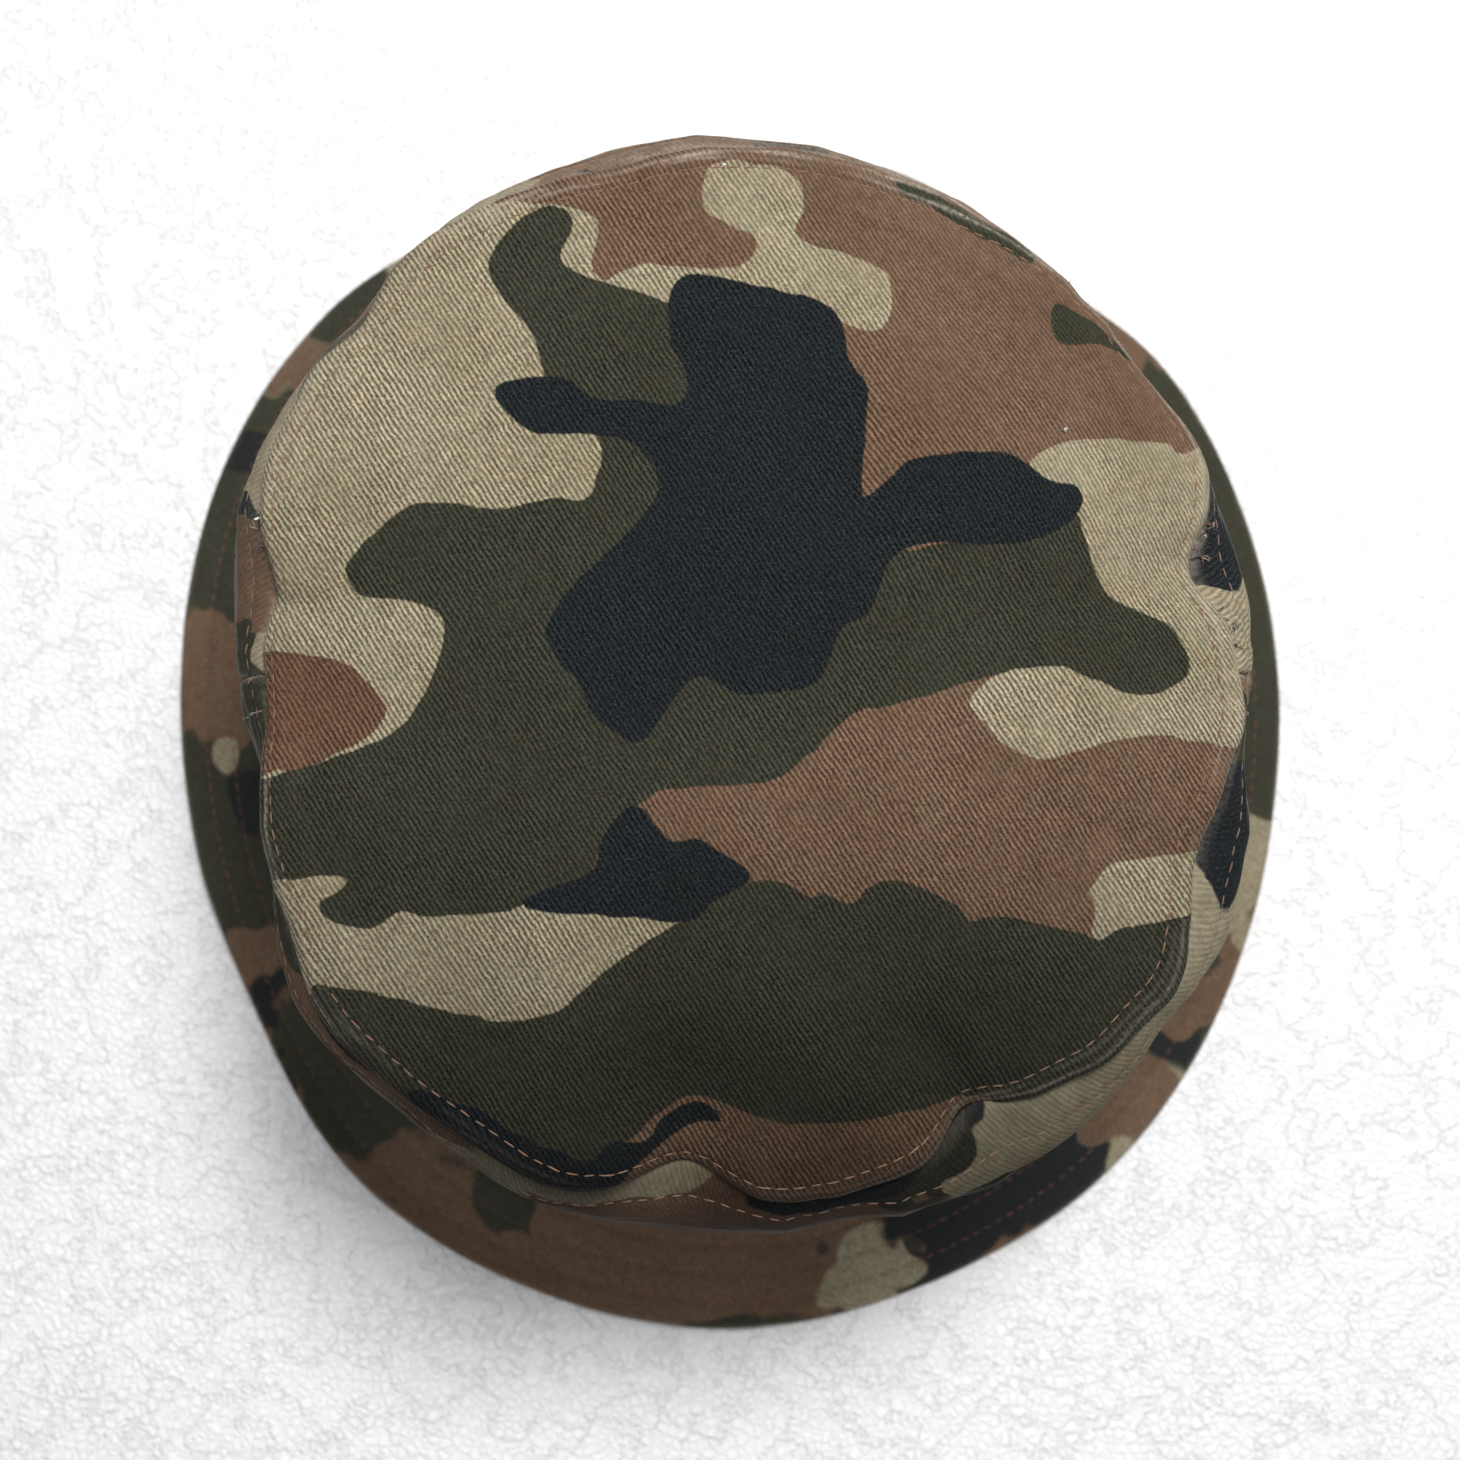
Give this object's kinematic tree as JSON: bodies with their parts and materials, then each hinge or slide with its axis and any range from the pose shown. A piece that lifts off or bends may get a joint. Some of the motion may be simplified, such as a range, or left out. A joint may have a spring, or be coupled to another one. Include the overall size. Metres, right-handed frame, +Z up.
{
  "type": "bucket hat",
  "caption": "Soft cloth bucket hat with a flat oval crown, side wall and a stitched sloping brim that turns up at front and back.",
  "frame": {"origin": "middle of the level brim edge, on the surface the hat rests on", "axes": "+Z up through the crown, the wearer faces -Y and the hat is longest along Y, +X is the wearer's left side"},
  "size_m": [0.264, 0.291, 0.118],
  "materials": {
    "camouflage_twill": "washed cotton twill printed with woodland camouflage in tan, brown, green and black",
    "brim_twill": "the same printed twill, stitched in rows",
    "brim_interlining": "stiff plain canvas",
    "seam_tape": "folded olive cotton binding",
    "sweatband_cotton": "soft olive cotton",
    "topstitch_thread": "orange-brown sewing thread, slightly shiny",
    "brim_thread": "dark red-brown sewing thread",
    "blackened_brass": "dark oxidised, satin",
    "label_satin": "woven satin tape, blank"
  },
  "bodies": {
    "crown": {"brim_edge_stitch_left": "brim_thread", "brim_edge_stitch_right": "brim_thread", "brim_inner_stitch": "brim_thread", "brim_interlining": "brim_interlining", "brim_top_cloth": "brim_twill", "brim_under_cloth": "brim_twill", "crown_tip": "camouflage_twill", "eyelet_left_front": "blackened_brass", "eyelet_left_rear": "blackened_brass", "eyelet_right_front": "blackened_brass", "eyelet_right_rear": "blackened_brass", "eyelet_washer_left_front": "blackened_brass", "eyelet_washer_left_rear": "blackened_brass", "eyelet_washer_right_front": "blackened_brass", "eyelet_washer_right_rear": "blackened_brass", "side_panel_front": "camouflage_twill", "side_panel_rear": "camouflage_twill", "side_seam_tape_left": "seam_tape", "side_seam_tape_right": "seam_tape", "sweatband": "sweatband_cotton", "sweatband_stitch": "brim_thread", "tip_seam_tape": "seam_tape", "tip_stitch_lower": "topstitch_thread", "tip_stitch_upper": "topstitch_thread"},
    "front_brim": {"brim_top_cloth_front_flap": "brim_twill", "brim_interlining_front_flap": "brim_interlining", "brim_under_cloth_front_flap": "brim_twill", "brim_edge_stitch_front": "brim_thread"},
    "rear_brim": {"brim_top_cloth_rear_flap": "brim_twill", "brim_interlining_rear_flap": "brim_interlining", "brim_under_cloth_rear_flap": "brim_twill", "brim_edge_stitch_rear": "brim_thread"},
    "label": {"size_label": "label_satin"}
  },
  "joints": [
    {"name": "front_brim_turn_up", "type": "hinge", "parent": "crown", "child": "front_brim", "pos_m": [0, -0.1035, 0.0268], "axis": [-1, 0, 0], "range_deg": [0, 75]},
    {"name": "rear_brim_turn_up", "type": "hinge", "parent": "crown", "child": "rear_brim", "pos_m": [0, 0.1035, 0.0268], "axis": [1, 0, 0], "range_deg": [0, 75]},
    {"name": "label_swing", "type": "hinge", "parent": "crown", "child": "label", "pos_m": [0, 0.0922, 0.058], "axis": [-1, 0, 0], "range_deg": [0, 110]}
  ]
}
